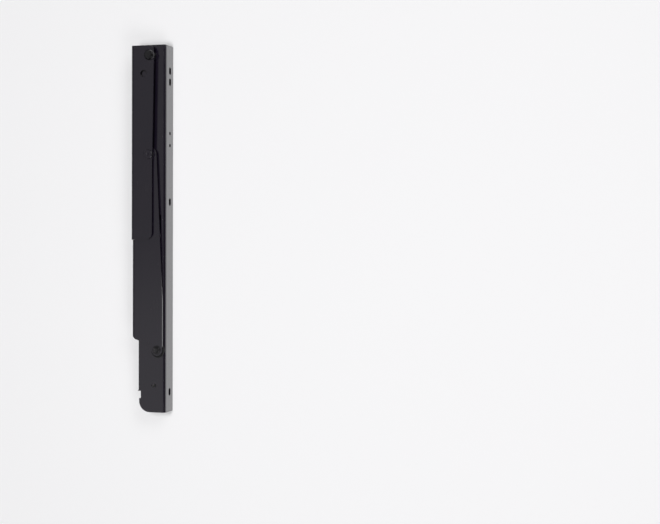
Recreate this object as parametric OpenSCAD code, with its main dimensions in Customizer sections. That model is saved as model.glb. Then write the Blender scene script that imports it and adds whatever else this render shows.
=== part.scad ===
// Folding-arm cabinet slide bracket, lying folded.
// An angle rail carries a swing arm on a rivet near its upper end. A brace is
// riveted to the arm, and its foot slides along a slot in the rail's web.
// Length along Y, rail flange on +X, plates facing +Z, flange edges on z = 0.

/* [Overall] */
// Width across the folded bracket, from the rail's side to the arm's side
overall_w = 33.3; // [31:0.1:36]
// Inside radius of every sheet bend
bend_r = 1; // [0.5:0.1:1.4]

/* [Rail] */
// Length of the rail
rail_len = 350; // [320:1:450]
// Width of the rail's web
rail_web_w = 27.4; // [25:0.1:28]
// Depth of the rail's side flange
rail_flange_d = 18; // [16:0.5:24]
// Sheet thickness of the rail
rail_t = 2; // [1.5:0.1:2.2]
// Radius of the rail's upper free corner
rail_top_corner_r = 8; // [6:0.5:9]
// Radius of the rail's lower free corner
rail_low_corner_r = 10.5; // [6:0.5:11]
// Length of the notch in the web's free edge
notch_len = 7; // [4:0.1:8]
// Depth of the notch
notch_d = 2.2; // [1:0.1:3]
// Height of the notch above the rail's lower end
notch_up = 13.2; // [12:0.1:16]
// Set-in of the web's free edge below the notch
tail_set_in = 0.5; // [0.3:0.1:1.2]
// Reach of the small lug above the notch
lug_out = 0.9; // [0.5:0.1:1.5]
// Half width of the locating slot in the web
locator_r = 1.7; // [1:0.1:2.2]
// Length of the locating slot, across the web
locator_len = 4.8; // [4.5:0.1:7]
// Distance of the locating slot from the rail's side
locator_in = 11.7; // [9:0.1:14]
// Height of the locating slot above the rail's lower end
locator_up = 25.6; // [22:0.1:32]

/* [Rail fixing holes] */
// Half width of the oblong screw slots in the flange
slot_r = 2.25; // [1.8:0.05:2.6]
// End-to-end length of the screw slots
slot_len = 7.2; // [6:0.1:9]
// Radius of the small pilot holes
pilot_r = 1.65; // [1:0.05:2.2]
// Distance of the fixing holes from the web's face
hole_depth = 10.5; // [8:0.1:11.5]
// Distance of the first screw slot from the upper end
slot_1_down = 24; // [20:0.5:26]
// Distance from the first screw slot to the second
slot_pitch = 10.5; // [9.5:0.1:14]
// Distance of the third screw slot from the upper end
slot_3_down = 149; // [120:1:160]
// Distance of the last screw slot from the lower end
slot_4_up = 19; // [15:0.5:30]
// Distance of the first pilot hole from the upper end
pilot_down = 83.5; // [70:0.5:90]
// Distance from the first pilot hole to the second
pilot_pitch = 11.5; // [8:0.1:16]

/* [Linkage] */
// Distance of the main pivot from the rail's side
main_pivot_in = 14.3; // [13:0.1:15]
// Distance of the main pivot below the rail's upper end
main_pivot_down = 10.2; // [9:0.1:12]
// Distance of the middle pivot from the rail's side
mid_pivot_in = 15.4; // [14:0.1:16]
// Distance along the rail from the main pivot to the middle pivot
crank_drop = 94; // [85:0.5:105]
// Distance of the folded foot from the rail's side
foot_in = 7.4; // [6.9:0.1:8]
// Height of the folded foot above the rail's lower end
foot_up = 60; // [50:0.5:75]
// Angle through which the arm opens
arm_open = 90; // [60:1:95]

/* [Swing arm] */
// Width of the arm's plate round the main pivot
arm_head_w = 23.3; // [22:0.1:24]
// Width of the arm's plate below the middle pivot
arm_w = 21.7; // [20:0.1:22.5]
// Distance below the main pivot at which the arm starts to narrow
narrow_from = 10; // [10:0.5:30]
// Distance below the middle pivot at which the arm stops narrowing
narrow_to = 14; // [10:0.5:30]
// Sheet thickness of the arm
arm_t = 1.8; // [1.5:0.1:2.2]
// Gap from the rail's upper end to the arm's upper end
arm_top_gap = 1; // [0.5:0.1:2]
// Length of the arm below the main pivot
arm_reach = 175; // [155:0.5:180]
// Radius of the arm's corner round the main pivot
arm_top_corner_r = 5; // [3:0.1:7]
// Radius of the arm's lower corner
arm_low_corner_r = 7.5; // [3:0.1:9]
// Corner radius of the flange ends
flange_corner_r = 4; // [2:0.5:6]
// Radius of the board screw holes in the arm's flange
board_hole_r = 2.25; // [1.6:0.05:2.6]
// Distance of the board holes from the arm's face
board_hole_depth = 13; // [10:0.1:16]
// Distance from the arm's upper end to the first board hole
board_hole_down = 22; // [15:0.5:26]
// Distance from the arm's lower end to the last board hole
board_hole_up = 24; // [15:0.5:30]

/* [Brace] */
// Sheet thickness of the brace
brace_t = 1.8; // [1.5:0.1:2.2]
// Radius of the brace's end at the middle pivot
brace_top_r = 7.3; // [6:0.1:9]
// Radius of the brace's end at the foot
brace_foot_r = 5.5; // [5:0.1:6.5]
// Distance above the foot at which the brace's slanted edge turns parallel
brace_knee_up = 48; // [20:1:60]
// Gap along the brace from the arm's end to the brace's flange
brace_flange_gap = 0.4; // [0.3:0.1:3]
// Height of the brace's flange above the foot
brace_flange_up = 13.3; // [10:0.1:20]
// Corner cut below the brace's flange
brace_corner = 3.4; // [3.4:0.1:5]
// Height of the brace's lower edge above the foot
brace_sole_up = 6.3; // [5:0.1:8]
// Distance from the rail's side at which the lower edge turns up to the flange
brace_sole_in = 19; // [15:0.5:22]
// Set-in of the brace's upper edge from its flange bend
brace_set_in = 0.3; // [0.2:0.1:1]

/* [Rivets and washers] */
// Gap between the rail's web and the brace
web_gap = 1.3; // [1.2:0.1:2.4]
// Thickness of the washer between brace and arm
mid_washer_t = 0.7; // [0.5:0.1:1.5]
// Shank radius of the pivot rivets
shank_r = 3; // [2.5:0.1:3.3]
// Head radius of the middle pivot rivet, and radius of both rivets' tails
head_r = 4.4; // [4.2:0.1:4.8]
// Head radius of the main pivot rivet, and radius of its spring washer
main_head_r = 4.95; // [4.5:0.05:5.4]
// Width of the rim round the main head's sunk face
main_rim_w = 1; // [0.8:0.1:1.6]
// Depth of the main head's sunk face
main_dish_d = 0.25; // [0.1:0.05:0.5]
// Bevel round the outside of a rimmed head
rim_bevel = 0.5; // [0.2:0.1:0.7]
// Radius of the dimple in the middle pivot rivet's head
dimple_r = 1.1; // [0.6:0.1:1.5]
// Depth of that dimple
dimple_d = 0.5; // [0.2:0.1:0.7]
// Height of the rivet heads
head_h = 1.6; // [1.2:0.1:2]
// Height of the set-over rivet tails
tail_h = 1; // [0.8:0.1:1]
// Outer radius of the pivot washers
washer_r = 4.5; // [4:0.1:5.5]
// Thickness of the main pivot's nylon washer
main_washer_t = 1.4; // [1:0.1:2]
// Thickness of the spring washer under the main head
spring_washer_t = 0.5; // [0.4:0.1:0.8]
// Head radius of the foot rivet
foot_head_r = 4.2; // [3.6:0.1:4.6]
// Width of the rolled rim of the foot rivet
foot_rim_w = 1.7; // [1.2:0.1:2.2]
// Depth of the hollow inside that rim
foot_dish_d = 0.8; // [0.4:0.1:1.2]
// Radius of the glide stud's sunk head, and of its hole in the arm
stud_head_r = 3.3; // [2.8:0.1:3.8]
// Thickness of the glide stud's sunk head
stud_head_t = 0.4; // [0.3:0.1:0.8]
// Shank radius of the glide stud
stud_r = 1.5; // [1.2:0.1:1.8]
// Radius of the nylon glide pad
pad_r = 4.5; // [3.5:0.1:5]
// Distance of the glide stud from the main pivot, towards the arm's outer side
stud_out = 6; // [5:0.1:7]
// Distance of the glide stud below the main pivot
stud_down = 17.3; // [16:0.1:20]

/* [Slide shoe] */
// Half width of the slot in the rail's web
track_r = 2.7; // [2.4:0.05:2.8]
// Half length of the shoe's neck, which runs in the slot
neck_half = 5; // [4:0.1:6.5]
// Half length of the shoe's flange
shoe_half = 7.4; // [7:0.1:9]
// Half width of the shoe's flange
shoe_half_w = 6.6; // [5:0.1:6.8]
// Half length of the shoe's back plate
back_plate_half = 6.5; // [6:0.1:8]
// Half width of the shoe's back plate
back_plate_half_w = 3.8; // [3.4:0.1:3.9]
// Radius of the shoe's pin
shoe_pin_r = 1.6; // [1.2:0.1:1.8]
// Thickness of the shoe's back plate
back_plate_t = 1.2; // [1:0.1:1.6]

/* [Fits] */
// Radial clearance of a turning pin in its bore
run_fit = 0.05; // [0.02:0.01:0.08]
// Gap between faces that slide past each other
face_gap = 0.1; // [0.05:0.01:0.15]

/* [Hidden] */
$fn = 64;
through = 1;
edge_sink = 0.02;

rail_x = overall_w / 2;
arm_x = -overall_w / 2;
rail_top_y = rail_len / 2;
rail_low_y = -rail_len / 2;
web_edge_x = rail_x - rail_web_w;

web_z = rail_flange_d - rail_t;
web_top = rail_flange_d;
brace_z = web_top + web_gap;
brace_top = brace_z + brace_t;
arm_z = brace_top + mid_washer_t + face_gap;
arm_top = arm_z + arm_t;

main_x = rail_x - main_pivot_in;
main_y = rail_top_y - main_pivot_down;
mid_x = rail_x - mid_pivot_in;
mid_y = main_y - crank_drop;
foot_x = rail_x - foot_in;
foot_y = rail_low_y + foot_up;

// Where the foot stands once the arm is open: the middle pivot has swung
// round the main pivot, and the brace keeps its length.
crank = [mid_x - main_x, mid_y - main_y];
brace_span = norm([foot_x - mid_x, foot_y - mid_y]);
open_mid_x = main_x + crank[0] * cos(arm_open) + crank[1] * sin(arm_open);
open_mid_y = main_y - crank[0] * sin(arm_open) + crank[1] * cos(arm_open);
open_foot_y = open_mid_y - sqrt(pow(brace_span, 2) - pow(foot_x - open_mid_x, 2));
neck_r = track_r - face_gap;
track_low_y = foot_y - neck_half - face_gap;
track_high_y = open_foot_y + neck_half + face_gap;

hole_z = web_top - hole_depth;
slot_ys = [
  rail_top_y - slot_1_down,
  rail_top_y - slot_1_down - slot_pitch,
  rail_top_y - slot_3_down,
  rail_low_y + slot_4_up
];
pilot_ys = [rail_top_y - pilot_down, rail_top_y - pilot_down - pilot_pitch];

arm_end_y = main_y - arm_reach;
arm_high_y = rail_top_y - arm_top_gap;
arm_head_x = arm_x + arm_head_w;
arm_edge_x = arm_x + arm_w;
board_pitch = (arm_high_y - board_hole_down - arm_end_y - board_hole_up) / 3;
board_ys = [for (i = [0:3]) arm_high_y - board_hole_down - i * board_pitch];
stud_x = main_x - stud_out;
stud_y = main_y - stud_down;

brace_flange_high_y = arm_end_y - brace_flange_gap;
brace_flange_low_y = foot_y + brace_flange_up;
brace_edge_x = arm_x + bend_r + brace_t + brace_set_in;
foot_shank_r = shoe_pin_r;

BLACK_STEEL = [0.17, 0.17, 0.19];
RIVET_BLACK = [0.11, 0.11, 0.12];
SPRING_STEEL = [0.30, 0.30, 0.31];
NYLON_BLACK = [0.07, 0.07, 0.07];

// ---- shared shapes ----

// Section of a bent sheet: a web of width w at height d and a flange hanging
// from its x = 0 side, of sheet t, with a true bend between them.
module angle_section(w, d, t) {
  outer_r = bend_r + t;
  translate([outer_r, d - t]) square([w - outer_r, t]);
  square([t, d - outer_r]);
  translate([outer_r, d - outer_r])
    intersection() {
      difference() {
        circle(outer_r);
        circle(bend_r);
      }
      translate([-outer_r, 0]) square(outer_r);
    }
}

// The section drawn out along Y from low_y to high_y, flange on the -X side.
module bent_sheet(w, d, t, low_y, high_y) {
  translate([0, high_y, 0])
    rotate([90, 0, 0])
      linear_extrude(high_y - low_y) angle_section(w, d, t);
}

// What is cut away outside a rounded corner whose tip is at the origin and
// whose sheet lies toward sx, sy.
module corner_waste(r, sx, sy) {
  scale_x = sx > 0 ? 0 : -r;
  scale_y = sy > 0 ? 0 : -r;
  difference() {
    translate([scale_x - (sx > 0 ? through : 0), scale_y - (sy > 0 ? through : 0)])
      square(r + through);
    translate([sx * r, sy * r]) circle(r);
    translate([sx > 0 ? r : -2 * r, sy > 0 ? 0 : -r]) square([r + through, r]);
    translate([sx > 0 ? 0 : -r, sy > 0 ? r : -2 * r]) square([r, r + through]);
  }
}

// A long hole along Y with round ends, between two heights.
module long_hole(r, low_y, high_y) {
  translate([0, low_y + r]) circle(r);
  translate([0, high_y - r]) circle(r);
  translate([-r, low_y + r]) square([2 * r, high_y - low_y - 2 * r]);
}

// A low domed rivet head standing on z = 0.
module rivet_head(r, h) {
  rim = h * 0.4;
  rise = h - rim;
  dome_r = (r * r + rise * rise) / (2 * rise);
  cylinder(r = r, h = rim);
  translate([0, 0, rim])
    rotate_extrude()
      intersection() {
        translate([0, rise - dome_r]) circle(dome_r, $fn = 256);
        square([r, rise]);
      }
}

// Flat-topped rivet head whose rim stands round a sunk face.
module rimmed_head(r, h, rim, sink) {
  rotate_extrude()
    polygon([
      [0, 0], [r, 0], [r, h - rim_bevel], [r - rim_bevel, h],
      [r - rim, h], [r - rim - sink, h - sink], [0, h - sink]
    ]);
}

// Washer of height h.
module washer(outer, inner, h) {
  difference() {
    cylinder(r = outer, h = h);
    translate([0, 0, -through]) cylinder(r = inner, h = h + 2 * through);
  }
}

// Points where a straight edge meets two round ends, on the side given by
// turn = 1 (left of the way from a to b) or -1 (right of it). The edge sinks
// a hair into the round ends, so that it cuts them and doesn't only touch.
function touch_points(a, ra, b, rb, turn) =
  let (
    way = atan2(b[1] - a[1], b[0] - a[0]),
    span = norm(b - a),
    lean = way + turn * acos((ra - rb) / span),
    aim = [cos(lean), sin(lean)]
  )
  [a + (ra - edge_sink) * aim, b + max(rb - edge_sink, 0) * aim];

// ---- rail body ----

module flange_slot(y) {
  translate([rail_x + through, y, hole_z])
    rotate([0, -90, 0])
      linear_extrude(rail_t + 2 * through)
        long_hole(slot_r, -slot_len / 2, slot_len / 2);
}

module flange_pilot(y) {
  translate([rail_x + through, y, hole_z])
    rotate([0, -90, 0])
      cylinder(r = pilot_r, h = rail_t + 2 * through);
}

// Small pointed lug on the web's free edge, just above the notch.
module edge_lug() {
  low_y = rail_low_y + notch_up + notch_len;
  translate([0, 0, web_z])
    linear_extrude(rail_t)
      polygon([
        [web_edge_x - lug_out, low_y],
        [web_edge_x + through, low_y],
        [web_edge_x + through, low_y + 2 * lug_out + through]
      ]);
}

module mounting_rail() {
  color(BLACK_STEEL)
    difference() {
      union() {
        translate([rail_x, 0, 0])
          mirror([1, 0, 0])
            bent_sheet(rail_web_w, rail_flange_d, rail_t, rail_low_y, rail_top_y);
        edge_lug();
      }
      translate([0, 0, web_z - through])
        linear_extrude(rail_t + 2 * through) {
          translate([web_edge_x, rail_top_y]) corner_waste(rail_top_corner_r, 1, -1);
          translate([web_edge_x + tail_set_in, rail_low_y])
            corner_waste(rail_low_corner_r, 1, 1);
          translate([web_edge_x - through, rail_low_y - through])
            square([tail_set_in + through, notch_up + 2 * through]);
          translate([web_edge_x - through, rail_low_y + notch_up])
            square([notch_d + through, notch_len]);
          translate([foot_x, 0]) long_hole(track_r, track_low_y, track_high_y);
          translate([rail_x - locator_in, rail_low_y + locator_up])
            rotate(90) long_hole(locator_r, -locator_len / 2, locator_len / 2);
        }
      translate([main_x, main_y, web_z - through])
        cylinder(r = shank_r, h = rail_t + 2 * through);
      for (y = slot_ys) flange_slot(y);
      for (y = pilot_ys) flange_pilot(y);
    }
}

// Rivet set in the web: the arm turns on its shank below the head.
module main_pivot_rivet() {
  shank_top = arm_top + 2 * face_gap + spring_washer_t;
  color(RIVET_BLACK)
    translate([main_x, main_y, 0]) {
      translate([0, 0, web_z - tail_h]) cylinder(r = head_r, h = tail_h);
      translate([0, 0, web_z]) cylinder(r = shank_r, h = shank_top - web_z);
      translate([0, 0, shank_top]) rimmed_head(main_head_r, head_h, main_rim_w, main_dish_d);
    }
}

module main_pivot_spacer() {
  color(BLACK_STEEL)
    translate([main_x, main_y, web_top])
      washer(washer_r, shank_r + run_fit, arm_z - web_top - main_washer_t - face_gap);
}

module main_pivot_washer() {
  color(NYLON_BLACK)
    translate([main_x, main_y, arm_z - main_washer_t - face_gap])
      washer(washer_r, shank_r + run_fit, main_washer_t);
}

module main_spring_washer() {
  color(SPRING_STEEL)
    translate([main_x, main_y, arm_top + face_gap])
      washer(main_head_r, shank_r + run_fit, spring_washer_t);
}

// ---- arm body ----

module board_hole(y) {
  translate([arm_x - through, y, arm_top - board_hole_depth])
    rotate([0, 90, 0])
      cylinder(r = board_hole_r, h = arm_t + 2 * through);
}

module swing_arm() {
  color(BLACK_STEEL)
    difference() {
      translate([arm_x, 0, 0])
        bent_sheet(arm_head_w, arm_top, arm_t, arm_end_y, arm_high_y);
      translate([0, 0, arm_z - through])
        linear_extrude(arm_t + 2 * through) {
          translate([arm_head_x, arm_high_y]) corner_waste(arm_top_corner_r, -1, -1);
          translate([arm_edge_x, arm_end_y]) corner_waste(arm_low_corner_r, -1, 1);
          polygon([
            [arm_head_x, main_y - narrow_from],
            [arm_edge_x, mid_y - narrow_to],
            [arm_edge_x, arm_end_y - through],
            [arm_head_x + through, arm_end_y - through],
            [arm_head_x + through, main_y - narrow_from]
          ]);
        }
      translate([arm_x - through, 0, 0])
        rotate([90, 0, 90])
          linear_extrude(arm_t + 2 * through) {
            translate([arm_high_y, 0]) corner_waste(flange_corner_r, -1, 1);
            translate([arm_end_y, 0]) corner_waste(flange_corner_r, 1, 1);
          }
      translate([main_x, main_y, arm_z - through])
        cylinder(r = shank_r + run_fit, h = arm_t + 2 * through);
      translate([mid_x, mid_y, arm_z - through])
        cylinder(r = shank_r, h = arm_t + 2 * through);
      translate([stud_x, stud_y, arm_z - through])
        cylinder(r = stud_head_r, h = arm_t + 2 * through);
      for (y = board_ys) board_hole(y);
    }
}

// Rivet set in the arm: the brace turns on its shank above the tail.
module middle_pivot_rivet() {
  color(RIVET_BLACK)
    translate([mid_x, mid_y, 0]) {
      translate([0, 0, brace_z - face_gap - tail_h]) cylinder(r = head_r, h = tail_h);
      translate([0, 0, brace_z - face_gap]) cylinder(r = shank_r, h = arm_top - brace_z + face_gap);
      translate([0, 0, arm_top])
        difference() {
          rivet_head(head_r, head_h);
          translate([0, 0, head_h - dimple_d]) cylinder(r1 = 0, r2 = dimple_r, h = dimple_d + edge_sink);
        }
    }
}

module middle_pivot_washer() {
  color(NYLON_BLACK)
    translate([mid_x, mid_y, arm_z - mid_washer_t])
      washer(washer_r, shank_r + run_fit, mid_washer_t);
}

// Small stud that holds the glide pad under the arm.
module glide_stud() {
  color(RIVET_BLACK)
    translate([stud_x, stud_y, 0]) {
      translate([0, 0, web_top + web_gap]) cylinder(r = stud_r, h = arm_z - web_top - web_gap);
      translate([0, 0, arm_z]) cylinder(r = stud_head_r, h = stud_head_t);
    }
}

// Nylon pad that keeps the arm off the rail's web as it swings.
module glide_pad() {
  color(NYLON_BLACK)
    translate([stud_x, stud_y, web_top + face_gap])
      difference() {
        cylinder(r = pad_r, h = arm_z - web_top - face_gap);
        translate([0, 0, web_gap - face_gap]) cylinder(r = stud_r, h = arm_z - web_top);
      }
}

// ---- brace body ----

// Outline of the brace: round ends at the middle pivot and the foot, an edge
// that slants to a knee and then runs parallel, and a body that widens to the
// flange on the other side.
module brace_outline() {
  mid = [mid_x, mid_y];
  foot = [foot_x, foot_y];
  knee = [foot_x + brace_foot_r - edge_sink, foot_y + brace_knee_up];
  toe_x = foot_x - brace_foot_r + edge_sink;
  sole = [rail_x - brace_sole_in, foot_y + brace_sole_up];
  heel = [arm_x + brace_corner, brace_flange_low_y - brace_corner];
  shoulder = [brace_edge_x, mid_y - 4 * brace_top_r];
  slant = touch_points(mid, brace_top_r, knee, 0, 1);
  neck = touch_points(mid, brace_top_r, shoulder, 0, -1);
  translate(mid) circle(brace_top_r);
  translate(foot) circle(brace_foot_r);
  polygon([
    mid, slant[0], knee, [knee[0], foot_y], [toe_x, foot_y], [toe_x, sole[1]], sole,
    heel, [brace_edge_x, heel[1]], shoulder, neck[0]
  ]);
}

// The slanting cut that takes off the brace's corner below its flange.
module brace_corner_waste() {
  tip = [arm_x - through, brace_flange_low_y + through];
  reach = brace_corner + through;
  polygon([tip, tip + [reach, -reach], tip + [reach, -reach - through], tip + [0, -reach - through]]);
}

module brace_link() {
  color(BLACK_STEEL)
    difference() {
      union() {
        translate([0, 0, brace_z]) linear_extrude(brace_t) brace_outline();
        translate([arm_x, 0, 0])
          bent_sheet(bend_r + brace_t + 2 * brace_set_in, brace_top, brace_t,
            brace_flange_low_y - brace_corner, brace_flange_high_y);
      }
      translate([0, 0, -through]) linear_extrude(brace_top + 2 * through) brace_corner_waste();
      translate([arm_x - through, 0, 0])
        rotate([90, 0, 90])
          linear_extrude(brace_t + 2 * through) {
            translate([brace_flange_high_y, 0]) corner_waste(flange_corner_r, -1, 1);
            translate([brace_flange_low_y - brace_t, 0]) corner_waste(flange_corner_r, 1, 1);
          }
      translate([mid_x, mid_y, brace_z - through])
        cylinder(r = shank_r + run_fit, h = brace_t + 2 * through);
      translate([foot_x, foot_y, brace_z - through])
        cylinder(r = foot_shank_r, h = brace_t + 2 * through);
    }
}

module foot_rivet() {
  color(RIVET_BLACK)
    translate([foot_x, foot_y, brace_z]) {
      cylinder(r = foot_shank_r, h = brace_t);
      translate([0, 0, brace_t]) rimmed_head(foot_head_r, head_h, foot_rim_w, foot_dish_d);
    }
}

// ---- shoe body ----

// Nylon shoe: a flange on the web and a neck in the slot.
module slide_shoe() {
  flange_t = web_gap - 3 * face_gap;
  color(NYLON_BLACK)
    translate([foot_x, foot_y, 0])
      difference() {
        union() {
          translate([0, 0, web_top + face_gap])
            linear_extrude(flange_t) long_hole(shoe_half_w, -shoe_half, shoe_half);
          translate([0, 0, web_z - face_gap])
            linear_extrude(rail_t + 2 * face_gap) long_hole(neck_r, -neck_half, neck_half);
        }
        translate([0, 0, web_z - through])
          cylinder(r = shoe_pin_r, h = rail_t + web_gap + 2 * through);
      }
}

// Pin through the shoe and its back plate, set over behind the plate.
module shoe_pin() {
  top_z = web_top + web_gap - 2 * face_gap;
  plate_z = web_z - face_gap - back_plate_t;
  color(RIVET_BLACK)
    translate([foot_x, foot_y, 0]) {
      translate([0, 0, plate_z]) cylinder(r = shoe_pin_r, h = top_z - plate_z);
      translate([0, 0, plate_z - tail_h]) cylinder(r = shoe_pin_r + 1, h = tail_h);
    }
}

module shoe_back_plate() {
  color(BLACK_STEEL)
    translate([foot_x, foot_y, web_z - face_gap - back_plate_t])
      difference() {
        linear_extrude(back_plate_t)
          long_hole(back_plate_half_w, -back_plate_half, back_plate_half);
        translate([0, 0, -through]) cylinder(r = shoe_pin_r, h = back_plate_t + 2 * through);
      }
}

mounting_rail();
swing_arm();
brace_link();
main_pivot_rivet();
main_pivot_spacer();
main_pivot_washer();
main_spring_washer();
middle_pivot_rivet();
middle_pivot_washer();
glide_stud();
glide_pad();
foot_rivet();
slide_shoe();
shoe_pin();
shoe_back_plate();
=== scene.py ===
"""Dresses the folding-arm cabinet slide bracket: softened sheet metal, turned
rivets and washers, their finishes, and the pale studio that it lies in."""

import math

import bmesh
import bpy
import numpy as np
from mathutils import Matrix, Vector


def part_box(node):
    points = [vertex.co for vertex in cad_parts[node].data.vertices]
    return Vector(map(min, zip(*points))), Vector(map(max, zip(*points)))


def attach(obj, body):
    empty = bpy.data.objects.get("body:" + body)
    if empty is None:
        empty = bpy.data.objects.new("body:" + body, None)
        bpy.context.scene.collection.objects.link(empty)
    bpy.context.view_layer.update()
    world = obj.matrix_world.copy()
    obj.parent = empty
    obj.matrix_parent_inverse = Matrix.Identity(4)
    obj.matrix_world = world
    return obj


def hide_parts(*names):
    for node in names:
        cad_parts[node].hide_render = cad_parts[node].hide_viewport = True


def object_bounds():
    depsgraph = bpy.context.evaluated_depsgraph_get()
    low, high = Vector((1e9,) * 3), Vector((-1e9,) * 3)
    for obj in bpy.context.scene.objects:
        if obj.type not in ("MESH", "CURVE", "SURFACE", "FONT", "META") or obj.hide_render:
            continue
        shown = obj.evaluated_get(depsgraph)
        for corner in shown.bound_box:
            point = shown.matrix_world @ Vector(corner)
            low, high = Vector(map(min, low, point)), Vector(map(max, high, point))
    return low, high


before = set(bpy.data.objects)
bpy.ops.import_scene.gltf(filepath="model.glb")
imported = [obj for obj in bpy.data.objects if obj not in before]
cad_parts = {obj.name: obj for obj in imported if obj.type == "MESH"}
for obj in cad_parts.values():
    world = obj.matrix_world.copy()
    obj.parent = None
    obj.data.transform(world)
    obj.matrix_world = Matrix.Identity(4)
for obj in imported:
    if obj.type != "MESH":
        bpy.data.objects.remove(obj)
cad_low, cad_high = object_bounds()

MM = 0.001
ROUND_STEPS = 72          # facets round a turned piece
SHANK_R = 3.0 * MM        # radius of the two pivot shanks
FIT = 0.05 * MM           # running fit of a washer on its shank
HEAD_H = 1.6 * MM         # height of a rivet's head
TAIL_H = 1.0 * MM         # height of a rivet's set-over tail
FOOT_SHANK_R = 1.6 * MM   # radius of the foot rivet's shank
SHEET_EDGE = 0.15 * MM    # round that breaks the cut edges of a sheet or block
MERGE_GAP = 2e-6          # corners of a CAD mesh nearer than this are one
FLAT_ANGLE = math.radians(1.0)     # faces that turn less than this are one face
CUT_ANGLE = math.radians(35.0)     # edges that turn more than this are cut edges
EDGE_STEPS = 3            # faces across a broken edge


# ---- meshes ----

def new_piece(name, verts, faces, material, body, stands_for):
    """A mesh object from whole arrays, dressed, and riding with its body."""
    mesh = bpy.data.meshes.new(name)
    mesh.from_pydata(verts.tolist(), [], faces)
    mesh.validate()
    mesh.polygons.foreach_set("use_smooth", np.ones(len(mesh.polygons), bool))
    mesh.materials.append(material)
    piece = bpy.data.objects.new(name, mesh)
    bpy.context.scene.collection.objects.link(piece)
    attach(piece, body)
    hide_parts(stands_for)
    return piece


def eased(points, radii, steps=5):
    """Rounds each corner of a profile. From each corner p the curve leaves at
    p + a*r and comes back at p + b*r, a and b pointing to its neighbours, as
    the quadratic (1-s)^2 start + 2s(1-s) p + s^2 end. A radius of 0 keeps p."""
    p = np.asarray(points, float)
    r = np.asarray(radii, float)[:, None]
    before = np.roll(p, 1, axis=0) - p
    after = np.roll(p, -1, axis=0) - p
    start = p + before / np.linalg.norm(before, axis=1, keepdims=True) * r
    end = p + after / np.linalg.norm(after, axis=1, keepdims=True) * r
    s = np.linspace(0.0, 1.0, steps)[None, :, None]
    near, middle, far = (1 - s) ** 2, 2 * s * (1 - s), s ** 2
    curve = near * start[:, None] + middle * p[:, None] + far * end[:, None]
    flat = curve.reshape(-1, 2)
    keep = np.r_[True, np.linalg.norm(np.diff(flat, axis=0), axis=1) > 1e-7]
    return flat[keep]


def turned(name, centre, profile, closed_loop, material, body, stands_for):
    """A surface of revolution: each profile point (r, z) goes round the upright
    axis through centre, x = cx + r cos a, y = cy + r sin a. A loop profile, a
    washer's, closes on itself. Any other starts and ends on the axis."""
    angle = np.arange(ROUND_STEPS) * (2 * math.pi / ROUND_STEPS)
    inner = profile if closed_loop else profile[1:-1]
    rows = len(inner)
    ring = np.stack([
        centre[0] + inner[:, :1] * np.cos(angle),
        centre[1] + inner[:, :1] * np.sin(angle),
        np.repeat(inner[:, 1:], ROUND_STEPS, axis=1)], axis=2).reshape(-1, 3)
    here = np.arange(rows * ROUND_STEPS).reshape(rows, ROUND_STEPS)
    there = np.roll(here, -1, axis=1)
    if closed_loop:
        up, up_there = np.roll(here, -1, axis=0), np.roll(there, -1, axis=0)
        quads = np.stack([here, there, up_there, up], axis=2).reshape(-1, 4)
        return new_piece(name, ring, quads.tolist(), material, body, stands_for)
    quads = np.stack([here[:-1], there[:-1], there[1:], here[1:]], axis=2).reshape(-1, 4)
    first, last = len(ring), len(ring) + 1
    poles = np.array([[centre[0], centre[1], profile[0, 1]],
                      [centre[0], centre[1], profile[-1, 1]]])
    low_fan = np.stack([there[0], here[0], np.full(ROUND_STEPS, first)], axis=1)
    high_fan = np.stack([here[-1], there[-1], np.full(ROUND_STEPS, last)], axis=1)
    faces = quads.tolist() + low_fan.tolist() + high_fan.tolist()
    return new_piece(name, np.vstack([ring, poles]), faces, material, body, stands_for)


def centre_of(node):
    """Middle of a node's box in plan, its half width, and its low and high z."""
    low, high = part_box(node)
    return ((low.x + high.x) / 2, (low.y + high.y) / 2), (high.x - low.x) / 2, low.z, high.z


def washer_piece(name, node, bore, ease, material, body):
    """A flat ring, its profile a rectangle from the bore to the rim, eased."""
    centre, outer, low, high = centre_of(node)
    loop = eased([(bore, low), (outer, low), (outer, high), (bore, high)], [ease] * 4)
    return turned(name, centre, loop, True, material, body, node)


def softened(name, node, width, material, body):
    """A copy of a sheet part with its cut edges broken by a small round."""
    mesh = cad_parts[node].data.copy()
    mesh.name = name
    shape = bmesh.new()
    shape.from_mesh(mesh)
    bmesh.ops.remove_doubles(shape, verts=shape.verts, dist=MERGE_GAP)
    bmesh.ops.dissolve_limit(shape, angle_limit=FLAT_ANGLE, verts=shape.verts, edges=shape.edges)
    shape.to_mesh(mesh)
    shape.free()
    mesh.polygons.foreach_set("use_smooth", np.ones(len(mesh.polygons), bool))
    mesh.materials.clear()
    mesh.materials.append(material)
    piece = bpy.data.objects.new(name, mesh)
    bpy.context.scene.collection.objects.link(piece)
    broken = piece.modifiers.new("broken edges", "BEVEL")
    broken.width = width
    broken.segments = EDGE_STEPS
    broken.limit_method = "ANGLE"
    broken.angle_limit = CUT_ANGLE
    broken.use_clamp_overlap = True
    level = piece.modifiers.new("level faces", "WEIGHTED_NORMAL")
    level.weight = 80
    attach(piece, body)
    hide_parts(node)
    return piece


def lengthen_flange(piece, strip, end_band, reach):
    """Moves the upper end of a sheet's side flange along y. Of the points within
    strip of the lowest x, those within end_band of their highest y go up by reach."""
    mesh = piece.data
    points = np.empty(len(mesh.vertices) * 3)
    mesh.vertices.foreach_get("co", points)
    points = points.reshape(-1, 3)
    on_flange = points[:, 0] < points[:, 0].min() + strip
    top = points[:, 1][on_flange].max()
    at_end = on_flange & (points[:, 1] > top - end_band)
    points[:, 1] += np.where(at_end, reach, 0.0)
    mesh.vertices.foreach_set("co", points.ravel())
    mesh.update()


# ---- effects that several finishes share ----

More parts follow.
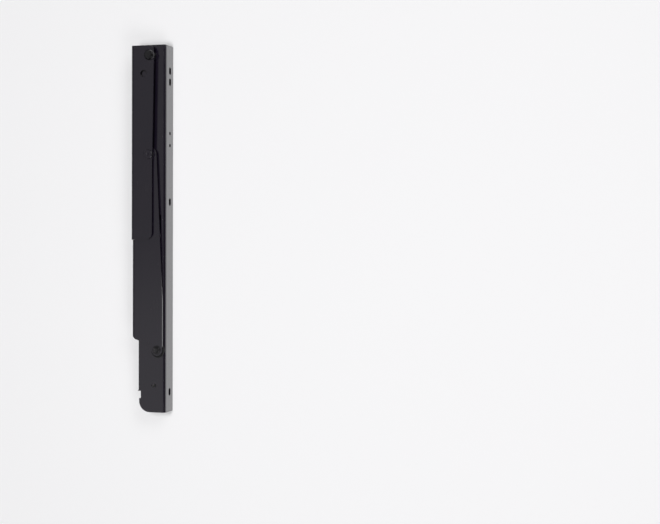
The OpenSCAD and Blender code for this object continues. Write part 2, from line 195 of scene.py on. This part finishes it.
def group(name, inputs, outputs):
    """An empty node group with named float or vector sockets."""
    tree = bpy.data.node_groups.new(name, "ShaderNodeTree")
    for label, kind, value in inputs:
        socket = tree.interface.new_socket(label, in_out="INPUT", socket_type=kind)
        if kind == "NodeSocketFloat":
            socket.default_value = value
    for label, kind in outputs:
        tree.interface.new_socket(label, in_out="OUTPUT", socket_type=kind)
    return tree, tree.nodes.new("NodeGroupInput"), tree.nodes.new("NodeGroupOutput")


def math_node(tree, operation, a, b=None, c=None):
    """One Math node. Each operand is a socket or a number."""
    node = tree.nodes.new("ShaderNodeMath")
    node.operation = operation
    for socket, value in zip(node.inputs, (a, b, c)):
        if isinstance(value, bpy.types.NodeSocket):
            tree.links.new(value, socket)
        elif value is not None:
            socket.default_value = value
    return node.outputs[0]


def noise_node(tree, vector, scale, detail, roughness=0.5):
    """A Noise texture whose Scale may be a socket or a number, per metre."""
    node = tree.nodes.new("ShaderNodeTexNoise")
    tree.links.new(vector, node.inputs["Vector"])
    if isinstance(scale, bpy.types.NodeSocket):
        tree.links.new(scale, node.inputs["Scale"])
    else:
        node.inputs["Scale"].default_value = scale
    node.inputs["Detail"].default_value = detail
    node.inputs["Roughness"].default_value = roughness
    return node.outputs["Fac"]


def make_skin_group():
    """Skin of a coating: height = peel * its noise + grain * its finer noise,
    in metres, and a slow mottle from 0 to 1 for tone and roughness."""
    tree, given, out = group("coating skin", [
        ("Vector", "NodeSocketVector", None),
        ("Peel scale", "NodeSocketFloat", 700.0),
        ("Peel height", "NodeSocketFloat", 4e-6),
        ("Grain scale", "NodeSocketFloat", 4200.0),
        ("Grain height", "NodeSocketFloat", 1e-6),
        ("Mottle scale", "NodeSocketFloat", 55.0)],
        [("Height", "NodeSocketFloat"), ("Mottle", "NodeSocketFloat")])
    where = given.outputs["Vector"]
    peel = noise_node(tree, where, given.outputs["Peel scale"], 2.0)
    grain = noise_node(tree, where, given.outputs["Grain scale"], 2.0)
    mottle = noise_node(tree, where, given.outputs["Mottle scale"], 4.0, 0.6)
    peel_h = math_node(tree, "MULTIPLY", peel, given.outputs["Peel height"])
    height = math_node(tree, "MULTIPLY_ADD", grain, given.outputs["Grain height"], peel_h)
    tree.links.new(height, out.inputs["Height"])
    tree.links.new(mottle, out.inputs["Mottle"])
    return tree


def make_rub_group():
    """Where edges are rubbed: 1 - (rounded normal . true normal), times a gain,
    broken by contrast * noise + offset and kept between 0 and 1."""
    reach, contrast, offset = 0.35 * MM, 2.4, -0.7
    tree, given, out = group("edge rub", [
        ("Vector", "NodeSocketVector", None),
        ("Gain", "NodeSocketFloat", 4.0),
        ("Patch scale", "NodeSocketFloat", 350.0)],
        [("Mask", "NodeSocketFloat")])
    rounded = tree.nodes.new("ShaderNodeBevel")
    rounded.samples = 4
    rounded.inputs["Radius"].default_value = reach
    true_normal = tree.nodes.new("ShaderNodeNewGeometry")
    dot = tree.nodes.new("ShaderNodeVectorMath")
    dot.operation = "DOT_PRODUCT"
    tree.links.new(rounded.outputs["Normal"], dot.inputs[0])
    tree.links.new(true_normal.outputs["Normal"], dot.inputs[1])
    turned_away = math_node(tree, "SUBTRACT", 1.0, dot.outputs["Value"])
    edge = math_node(tree, "MULTIPLY", turned_away, given.outputs["Gain"])
    patch = noise_node(tree, given.outputs["Vector"], given.outputs["Patch scale"], 3.0)
    sharp_patch = math_node(tree, "MULTIPLY_ADD", patch, contrast, offset)
    mask = math_node(tree, "MULTIPLY", edge, sharp_patch)
    mask.node.use_clamp = True
    tree.links.new(mask, out.inputs["Mask"])
    return tree


def make_scuff_group():
    """Fine handling marks: thin lines where a stretched noise crosses its middle
    value, 1 - fineness * |noise - 0.5|, seen only in patches, where
    contrast * a slower noise + offset is above 0."""
    slant, stretch_by, fineness = 0.6, (1.0, 0.12, 1.0), 90.0
    patch_scale, contrast, offset = 40.0, 5.0, -2.7
    tree, given, out = group("handling marks", [
        ("Vector", "NodeSocketVector", None),
        ("Line scale", "NodeSocketFloat", 90.0)],
        [("Mask", "NodeSocketFloat")])
    stretch = tree.nodes.new("ShaderNodeMapping")
    stretch.inputs["Rotation"].default_value = (0.0, 0.0, slant)
    stretch.inputs["Scale"].default_value = stretch_by
    tree.links.new(given.outputs["Vector"], stretch.inputs["Vector"])
    lines = noise_node(tree, stretch.outputs["Vector"], given.outputs["Line scale"], 5.0, 0.65)
    off = math_node(tree, "ABSOLUTE", math_node(tree, "SUBTRACT", lines, 0.5))
    thin = math_node(tree, "SUBTRACT", 1.0, math_node(tree, "MULTIPLY", off, fineness))
    thin.node.use_clamp = True
    patch = noise_node(tree, given.outputs["Vector"], patch_scale, 2.0)
    some = math_node(tree, "MULTIPLY_ADD", patch, contrast, offset)
    some.node.use_clamp = True
    mask = math_node(tree, "MULTIPLY", thin, some)
    tree.links.new(mask, out.inputs["Mask"])
    return tree


skin_group = make_skin_group()
rub_group = make_rub_group()
scuff_group = make_scuff_group()


# ---- finishes ----

def start_material(name):
    """A material with its Principled BSDF and Object coordinates at hand."""
    material = bpy.data.materials.new(name)
    material.use_nodes = True
    tree = material.node_tree
    shader = tree.nodes["Principled BSDF"]
    where = tree.nodes.new("ShaderNodeTexCoord").outputs["Object"]
    return material, tree, shader, where


def place(tree, node_group, where, **values):
    """Puts a shared effect in a material, with that material's own values."""
    node = tree.nodes.new("ShaderNodeGroup")
    node.node_tree = node_group
    tree.links.new(where, node.inputs["Vector"])
    for label, value in values.items():
        node.inputs[label.replace("_", " ")].default_value = value
    return node


def blend_colour(tree, factor, colour_a, colour_b):
    """Mix of two colours, each a socket or an RGB triple, by a factor socket."""
    node = tree.nodes.new("ShaderNodeMix")
    node.data_type = "RGBA"
    tree.links.new(factor, node.inputs[0])
    for socket, value in ((node.inputs[6], colour_a), (node.inputs[7], colour_b)):
        if isinstance(value, bpy.types.NodeSocket):
            tree.links.new(value, socket)
        else:
            socket.default_value = (*value, 1.0)
    return node.outputs[2]


def bump(tree, shader, height):
    """Feeds a height in metres to the shader's Normal."""
    node = tree.nodes.new("ShaderNodeBump")
    node.inputs["Strength"].default_value = 1.0
    node.inputs["Distance"].default_value = 1.0
    tree.links.new(height, node.inputs["Height"])
    tree.links.new(node.outputs["Normal"], shader.inputs["Normal"])


def black_coat():
    """Semi-gloss black coating on sheet steel: faint peel, mottled gloss, a
    little grey rubbed through at the cut edges, and fine handling marks.
    Roughness = smoothest + spread * mottle + scratched * marks."""
    deep, light = (0.0065, 0.0050, 0.0110), (0.0100, 0.0068, 0.0140)
    mark_grey, rubbed_grey = (0.05, 0.048, 0.048), (0.075, 0.070, 0.068)
    mark_share, rub_share = 0.15, 0.4
    smoothest, spread, scratched = 0.16, 0.08, 0.12
    material, tree, shader, where = start_material("semi-gloss black coat")
    skin = place(tree, skin_group, where, Peel_scale=620.0, Peel_height=5e-6,
                 Grain_scale=4200.0, Grain_height=1.2e-6, Mottle_scale=60.0)
    rub = place(tree, rub_group, where, Gain=1.6, Patch_scale=300.0)
    marks = place(tree, scuff_group, where, Line_scale=90.0)
    tone = blend_colour(tree, skin.outputs["Mottle"], deep, light)
    marked = math_node(tree, "MULTIPLY", marks.outputs["Mask"], mark_share)
    scuffed = blend_colour(tree, marked, tone, mark_grey)
    rubbed = math_node(tree, "MULTIPLY", rub.outputs["Mask"], rub_share)
    worn = blend_colour(tree, rubbed, scuffed, rubbed_grey)
    tree.links.new(worn, shader.inputs["Base Color"])
    rough = math_node(tree, "MULTIPLY_ADD", skin.outputs["Mottle"], spread, smoothest)
    rough = math_node(tree, "MULTIPLY_ADD", marks.outputs["Mask"], scratched, rough)
    tree.links.new(rough, shader.inputs["Roughness"])
    shader.inputs["IOR"].default_value = 1.65
    shader.inputs["Coat Weight"].default_value = 1.0
    shader.inputs["Coat Roughness"].default_value = 0.18
    shader.inputs["Coat IOR"].default_value = 1.65
    bump(tree, shader, skin.outputs["Height"])
    return material


def rivet_black():
    """Blackened rivet steel: bare dark metal with a hard gloss, lighter at rims.
    Roughness = smoothest + spread * mottle."""
    deep, light, rubbed_grey = (0.100, 0.098, 0.105), (0.135, 0.131, 0.138), (0.16, 0.15, 0.145)
    rub_share, smoothest, spread = 0.5, 0.17, 0.12
    material, tree, shader, where = start_material("blackened rivet steel")
    skin = place(tree, skin_group, where, Peel_scale=1500.0, Peel_height=4e-6,
                 Grain_scale=6000.0, Grain_height=1.0e-6, Mottle_scale=260.0)
    rub = place(tree, rub_group, where, Gain=2.2, Patch_scale=700.0)
    tone = blend_colour(tree, skin.outputs["Mottle"], deep, light)
    rubbed = math_node(tree, "MULTIPLY", rub.outputs["Mask"], rub_share)
    worn = blend_colour(tree, rubbed, tone, rubbed_grey)
    tree.links.new(worn, shader.inputs["Base Color"])
    shader.inputs["Metallic"].default_value = 1.0
    rough = math_node(tree, "MULTIPLY_ADD", skin.outputs["Mottle"], spread, smoothest)
    tree.links.new(rough, shader.inputs["Roughness"])
    bump(tree, shader, skin.outputs["Height"])
    return material


def spring_steel():
    """Dull oiled spring steel with a fine ground finish.
    Roughness = smoothest + spread * mottle."""
    deep, light = (0.20, 0.195, 0.19), (0.33, 0.32, 0.31)
    smoothest, spread = 0.30, 0.15
    material, tree, shader, where = start_material("dull spring steel")
    skin = place(tree, skin_group, where, Peel_scale=2400.0, Peel_height=2e-6,
                 Grain_scale=9000.0, Grain_height=1.2e-6, Mottle_scale=400.0)
    tone = blend_colour(tree, skin.outputs["Mottle"], deep, light)
    tree.links.new(tone, shader.inputs["Base Color"])
    shader.inputs["Metallic"].default_value = 1.0
    rough = math_node(tree, "MULTIPLY_ADD", skin.outputs["Mottle"], spread, smoothest)
    tree.links.new(rough, shader.inputs["Roughness"])
    bump(tree, shader, skin.outputs["Height"])
    return material


def black_nylon():
    """Moulded black nylon: matte, with a fine spark-eroded mould texture.
    Roughness = smoothest + spread * mottle."""
    deep, light = (0.009, 0.009, 0.009), (0.018, 0.018, 0.019)
    smoothest, spread = 0.46, 0.15
    material, tree, shader, where = start_material("moulded black nylon")
    skin = place(tree, skin_group, where, Peel_scale=2600.0, Peel_height=9e-6,
                 Grain_scale=9000.0, Grain_height=3e-6, Mottle_scale=300.0)
    tone = blend_colour(tree, skin.outputs["Mottle"], deep, light)
    tree.links.new(tone, shader.inputs["Base Color"])
    rough = math_node(tree, "MULTIPLY_ADD", skin.outputs["Mottle"], spread, smoothest)
    tree.links.new(rough, shader.inputs["Roughness"])
    shader.inputs["IOR"].default_value = 1.53
    bump(tree, shader, skin.outputs["Height"])
    return material


coat = black_coat()
rivet = rivet_black()
spring = spring_steel()
nylon = black_nylon()


# ---- the pieces ----

BORE = SHANK_R + FIT                     # bore of a washer on a pivot shank

softened("rail_sheet", "mounting_rail", SHEET_EDGE, coat, "rail")
softened("arm_sheet", "swing_arm", SHEET_EDGE, coat, "arm")
brace_sheet = softened("brace_sheet", "brace_link", SHEET_EDGE, coat, "brace")
# The brace's flange runs on until it all but meets the end of the arm's.
lengthen_flange(brace_sheet, strip=3.0 * MM, end_band=0.05 * MM, reach=0.33 * MM)
softened("shoe_block", "slide_shoe", SHEET_EDGE, nylon, "shoe")
softened("back_plate", "shoe_back_plate", SHEET_EDGE, coat, "shoe")

washer_piece("rail_spacer", "main_pivot_spacer", BORE, 0.2 * MM, coat, "rail")
washer_piece("rail_glide_washer", "main_pivot_washer", BORE, 0.15 * MM, nylon, "rail")
washer_piece("rail_spring_washer", "main_spring_washer", BORE, 0.08 * MM, spring, "rail")
washer_piece("brace_glide_washer", "middle_pivot_washer", BORE, 0.12 * MM, nylon, "arm")


def rivet_profile(low, tail_r, shank_r, head_low, head):
    """Profile of a rivet from its foot up: tail disc, shank, and the head's own
    points, which start at the rim of its flat underside."""
    points = [(0.0, low), (tail_r, low), (tail_r, low + TAIL_H),
              (shank_r, low + TAIL_H), (shank_r, head_low)]
    base = eased(points, [0.0, 0.35 * MM, 0.25 * MM, 0.0, 0.0])
    return np.vstack([base, head])


def dished_head(r, low, high, wall, slope, rim, dish, sink):
    """Upset head: a short wall, a slope in to the rim over the width slope, a
    flat rim, and a shallow cone of width dish down to a face sunk by sink."""
    points = [(r, low), (r, low + wall), (r - slope, high), (r - slope - rim, high),
              (r - slope - rim - dish, high - sink), (0.0, high - sink)]
    ease = [0.1 * MM, 0.3 * MM, min(slope, rim) * 0.45, rim * 0.45, sink * 0.6, 0.0]
    return eased(points, ease)[4:]


def punched_head(r, low, high, dimple_r, dimple_d):
    """Flat head with a chamfered, eased edge and, in its middle, the shallow
    round seat that the riveting punch leaves, whose floor rises to its centre."""
    chamfer, slope, floor_share = 0.35 * MM, 0.3 * MM, 0.7
    points = [(r, low), (r, high - chamfer), (r - chamfer, high), (dimple_r, high),
              (dimple_r - slope, high - dimple_d), (0.0, high - floor_share * dimple_d)]
    ease = [0.1 * MM, 0.2 * MM, 0.2 * MM, 0.15 * MM, 0.15 * MM, 0.0]
    return eased(points, ease)[4:]


def button_head(r, low, high, collar_h, button_r, dish_r, sink):
    """A thin collar with a raised button on it, the button's top dished. Its
    wall leans in by taper, and the dish's wall by slope."""
    taper, slope = 0.15 * MM, 0.5 * MM
    points = [(r, low), (r, low + collar_h), (button_r + taper, low + collar_h), (button_r, high),
              (dish_r, high), (dish_r - slope, high - sink), (0.0, high - sink)]
    ease = [0.1 * MM, 0.22 * MM, 0.12 * MM, 0.22 * MM, 0.1 * MM, 0.15 * MM, 0.0]
    return eased(points, ease)[4:]


arm_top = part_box("swing_arm")[1].z
brace_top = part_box("brace_link")[1].z
main_centre, main_r, main_low, main_high = centre_of("main_pivot_rivet")
mid_centre, mid_r, mid_low, mid_high = centre_of("middle_pivot_rivet")
foot_centre, foot_r, foot_low, foot_high = centre_of("foot_rivet")
stud_centre, stud_r, stud_low, stud_high = centre_of("glide_stud")

main_under = main_high - HEAD_H
main_head = dished_head(main_r, main_under, main_high, wall=0.3 * MM, slope=1.0 * MM,
                        rim=0.3 * MM, dish=1.0 * MM, sink=0.18 * MM)
turned("main_rivet", main_centre, rivet_profile(main_low, mid_r, SHANK_R, main_under, main_head),
       False, rivet, "rail", "main_pivot_rivet")

mid_head = punched_head(mid_r, arm_top, mid_high, dimple_r=1.3 * MM, dimple_d=0.3 * MM)
turned("middle_rivet", mid_centre, rivet_profile(mid_low, mid_r, SHANK_R, arm_top, mid_head),
       False, coat, "arm", "middle_pivot_rivet")

foot_head = button_head(foot_r, brace_top, foot_high, collar_h=0.5 * MM, button_r=2.9 * MM,
                        dish_r=2.2 * MM, sink=0.35 * MM)
foot_shank = [(0.0, foot_low), (FOOT_SHANK_R, foot_low), (FOOT_SHANK_R, brace_top)]
turned("foot_tube_rivet", foot_centre, np.vstack([foot_shank, foot_head]),
       False, rivet, "brace", "foot_rivet")

STUD_SHANK_R = 1.5 * MM
STUD_DISC_LOW = stud_high - 0.4 * MM
STUD_FACE = stud_high - 0.2 * MM         # the disc's face lies below the CAD stud's top
stud_disc = [(0.0, stud_low), (STUD_SHANK_R, stud_low), (STUD_SHANK_R, STUD_DISC_LOW),
             (stud_r, STUD_DISC_LOW), (stud_r, STUD_FACE), (0.0, STUD_FACE)]
turned("sunk_stud", stud_centre, eased(stud_disc, [0, 0.1 * MM, 0, 0, 0.08 * MM, 0]),
       False, rivet, "arm", "glide_stud")

CROWN_R = 2.3 * MM                       # the coated crown on the stud, off its centre
CROWN_OFF = 0.95 * MM
CROWN_WAY = (0.8, -0.6)                  # unit step from the stud's centre to the crown's
crown_centre = (stud_centre[0] + CROWN_OFF * CROWN_WAY[0], stud_centre[1] + CROWN_OFF * CROWN_WAY[1])
crown_top = arm_top - 0.05 * MM
crown_low = stud_high - 0.25 * MM
crown = eased([(0.0, crown_low), (CROWN_R, crown_low), (CROWN_R, crown_top), (0.0, crown_top)],
              [0, 0, 0.12 * MM, 0])
turned("stud_crown", crown_centre, crown, False, coat, "arm", "glide_stud")

# The pin and the pad keep their own shape, and get a finish.
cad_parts["shoe_pin"].material_slots[0].material = rivet
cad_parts["glide_pad"].material_slots[0].material = nylon


# ---- studio ----

FLOOR_HALF = 40.0                        # half the floor's side, in metres
WORLD_LIGHT = (0.015, 0.015, 0.015)      # what the world adds to the lamps
WORLD_SEEN = (0.93, 0.93, 0.93)          # what the camera sees past the floor


def floor_material():
    """Pale matte floor, with a slow, very faint change of tone."""
    darker, lighter, tone_scale = (0.915, 0.912, 0.922), (0.925, 0.922, 0.932), 3.0
    material, tree, shader, where = start_material("pale floor")
    grain = noise_node(tree, where, tone_scale, 3.0)
    tree.links.new(blend_colour(tree, grain, darker, lighter), shader.inputs["Base Color"])
    shader.inputs["Roughness"].default_value = 0.9
    shader.inputs["Specular IOR Level"].default_value = 0.1
    return material


ground = bpy.data.meshes.new("floor")
corners = np.array([[-1, -1], [1, -1], [1, 1], [-1, 1]], float) * FLOOR_HALF
ground.from_pydata(np.c_[corners, np.full(4, cad_low.z)].tolist(), [], [(0, 1, 2, 3)])
ground.materials.append(floor_material())
floor = bpy.data.objects.new("floor", ground)
bpy.context.scene.collection.objects.link(floor)

world = bpy.data.worlds.new("studio")
bpy.context.scene.world = world
world.use_nodes = True
sky = world.node_tree
background = sky.nodes["Background"]
path = sky.nodes.new("ShaderNodeLightPath")
shade = blend_colour(sky, path.outputs["Is Camera Ray"], WORLD_LIGHT, WORLD_SEEN)
sky.links.new(shade, background.inputs["Color"])
background.inputs["Strength"].default_value = 1.0


def softbox(name, place_at, aim_at, size_x, size_y, radiance):
    """An area lamp of the given radiance, its power pi * area * radiance."""
    lamp = bpy.data.lights.new(name, "AREA")
    lamp.shape = "RECTANGLE"
    lamp.size = size_x
    lamp.size_y = size_y
    lamp.energy = math.pi * size_x * size_y * radiance
    holder = bpy.data.objects.new(name, lamp)
    bpy.context.scene.collection.objects.link(holder)
    away = np.asarray(place_at, float) - np.asarray(aim_at, float)
    away /= np.linalg.norm(away)
    turn_z = math.atan2(away[0], -away[1])
    tilt = math.acos(away[2])
    holder.location = place_at
    holder.rotation_euler = (tilt, 0.0, turn_z)
    holder.visible_camera = False
    return holder


# Two dim ceiling panels give the flat faces their sheen, two lamps off to the
# right light the rail's flange, and the fill, which no gloss mirrors, the floor.
softbox("ceiling", (-0.7, 0.2, 2.6), (-0.7, 0.2, 0.0), 2.2, 4.0, 0.165)
softbox("ceiling toward the foot", (-0.7, -1.1, 2.58), (-0.7, -1.1, 0.0), 2.2, 1.9, 0.13)
softbox("lamp at the foot side", (1.5, -1.6, 1.9), (0.0, 0.0, 0.0), 1.6, 1.0, 2.6)
softbox("lamp at the head side", (1.5, 1.6, 1.9), (0.0, 0.0, 0.0), 1.6, 1.0, 2.6)
fill = softbox("overhead fill", (0.14, 0.0, 2.55), (0.14, 0.0, 0.0), 0.5, 1.6, 20.0)
fill.visible_glossy = False

# ---- camera ----

CAMERA_OUT = 0.45703                     # from the rail's side face, in metres
CAMERA_ALONG = -0.01073                  # along the rail from its middle
CAMERA_UP = 1.08779                      # above the floor
CAMERA_TURN = (-0.9255, 15.4104, 0.2402)     # degrees about x, y and z

rail_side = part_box("mounting_rail")[1].x
view = bpy.data.cameras.new("camera")
view.lens = 66.18
view.sensor_width = 36.0
view.clip_start = 0.01
view.clip_end = 200.0
camera = bpy.data.objects.new("camera", view)
bpy.context.scene.collection.objects.link(camera)
camera.location = (rail_side + CAMERA_OUT, CAMERA_ALONG, cad_low.z + CAMERA_UP)
camera.rotation_mode = "XYZ"
camera.rotation_euler = [math.radians(turn) for turn in CAMERA_TURN]
bpy.context.scene.camera = camera
bpy.context.scene.view_settings.view_transform = "Standard"
